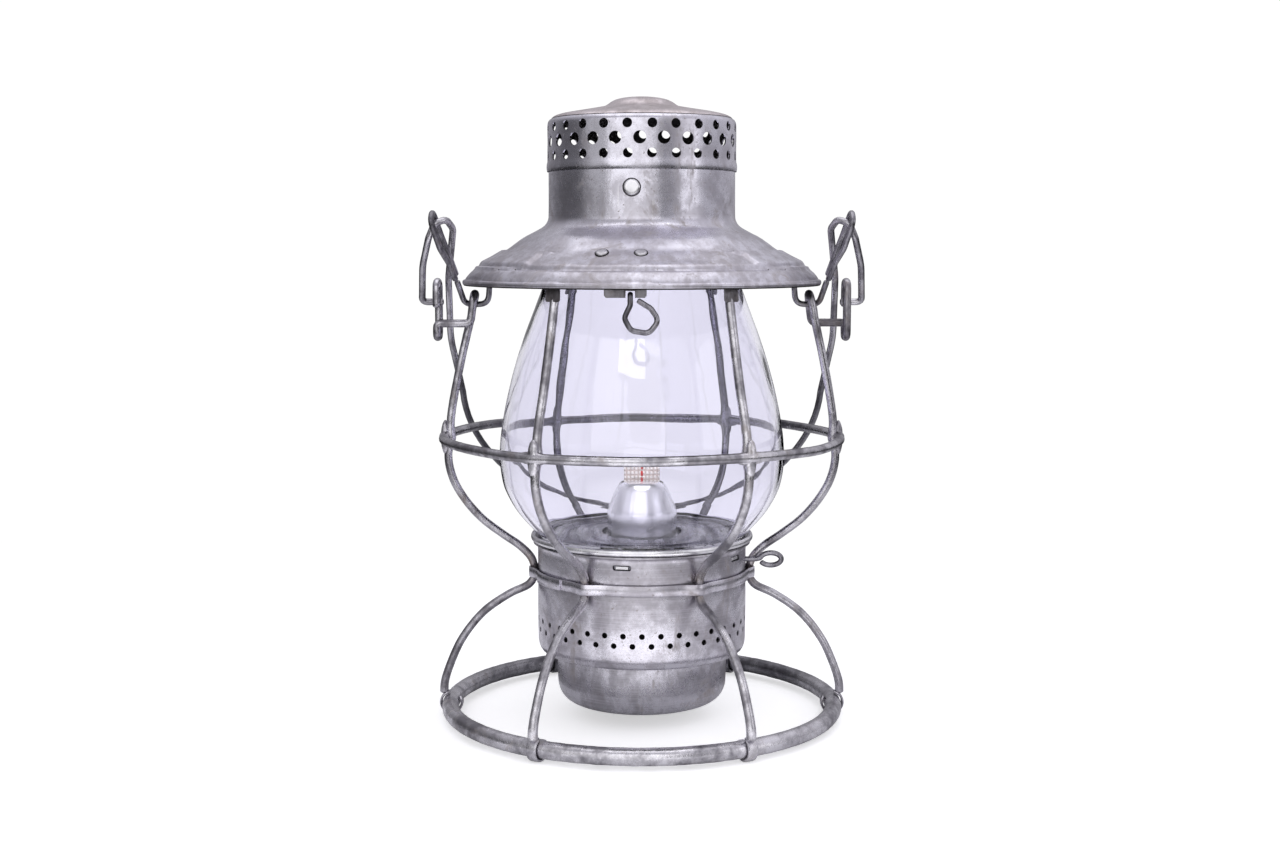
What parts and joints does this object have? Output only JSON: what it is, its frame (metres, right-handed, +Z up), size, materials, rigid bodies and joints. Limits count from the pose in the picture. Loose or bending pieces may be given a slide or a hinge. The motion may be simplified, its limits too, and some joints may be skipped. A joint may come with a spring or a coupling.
{
  "type": "wire-cage barn lantern",
  "caption": "Oil lantern with a clear glass globe in a round wire cage, vented hinged lid, hanging bail and twist-in oil fount.",
  "frame": {"origin": "on the floor, on the common axis of the base ring, bell, globe and lid", "axes": "+Z up along the lantern's axis; the front, with the latch pull, towards -Y; the fount catch towards +X"},
  "size_m": [0.1918, 0.1837, 0.2685],
  "materials": {
    "tinplate": "worn, stained",
    "wire": "dull, rust-stained",
    "bright": "polished",
    "globe_glass": "clear",
    "cotton": "woven"
  },
  "bodies": {
    "frame": {"bail_rest_left": "wire", "bail_rest_right": "wire", "base_ring": "wire", "bell": "tinplate", "cage_wire_back_left": "wire", "cage_wire_back_right": "wire", "cage_wire_front_left": "wire", "cage_wire_front_right": "wire", "clamp_band": "tinplate", "globe": "globe_glass", "globe_seat": "tinplate", "guard_ring": "wire", "hinge_bracket": "tinplate", "hinge_pin": "wire", "side_wire_left": "wire", "side_wire_right": "wire", "top_ring": "wire"},
    "lid": {"lid_brim": "tinplate", "vent_band": "tinplate", "cap_top": "tinplate", "chimney_rivet": "tinplate", "brim_rivet_left": "tinplate", "brim_rivet_right": "tinplate", "latch_plate": "tinplate", "lid_hinge_leaf": "tinplate"},
    "lid_latch": {"latch_pull": "wire"},
    "bail": {"bail": "wire", "bail_clip_left": "wire", "bail_clip_right": "wire"},
    "fount_catch": {"catch_pull": "wire"},
    "fount": {"oil_fount": "tinplate", "burner_base": "bright", "burner_cone": "bright", "wick_tube": "bright"},
    "raiser": {"wick_raiser": "bright"},
    "wick": {"wick": "cotton"}
  },
  "joints": [
    {"name": "lid_hinge", "type": "hinge", "parent": "frame", "child": "lid", "pos_m": [0, 0.0802, 0.1866], "axis": [-1, 0, 0], "range_deg": [0, 100]},
    {"name": "latch_pull_slide", "type": "slide", "parent": "lid", "child": "lid_latch", "axis": [0, -1, 0], "range_m": [0, 0.003], "stiffness_N_per_m": 400},
    {"name": "bail_hinge", "type": "hinge", "parent": "frame", "child": "bail", "pos_m": [0, 0, 0.1813], "axis": [1, 0, 0], "range_deg": [0, 142]},
    {"name": "catch_slide", "type": "slide", "parent": "frame", "child": "fount_catch", "axis": [1, 0, 0], "range_m": [0, 0.0035], "stiffness_N_per_m": 400},
    {"name": "fount_twist", "type": "hinge", "parent": "frame", "child": "fount", "pos_m": [0, 0, 0.03], "axis": [0, 0, 1], "range_deg": [0, 25]},
    {"name": "raiser_turn", "type": "hinge", "parent": "fount", "child": "raiser", "pos_m": [0, 0.0054, 0.0752], "axis": [1, 0, 0], "range_deg": [-101, 101]},
    {"name": "wick_slide", "type": "slide", "parent": "fount", "child": "wick", "axis": [0, 0, 1], "range_m": [-0.007, 0.007]}
  ],
  "couplings": [
    {"joint": "raiser_turn", "follows": "wick_slide", "rad_per_m": 250}
  ]
}
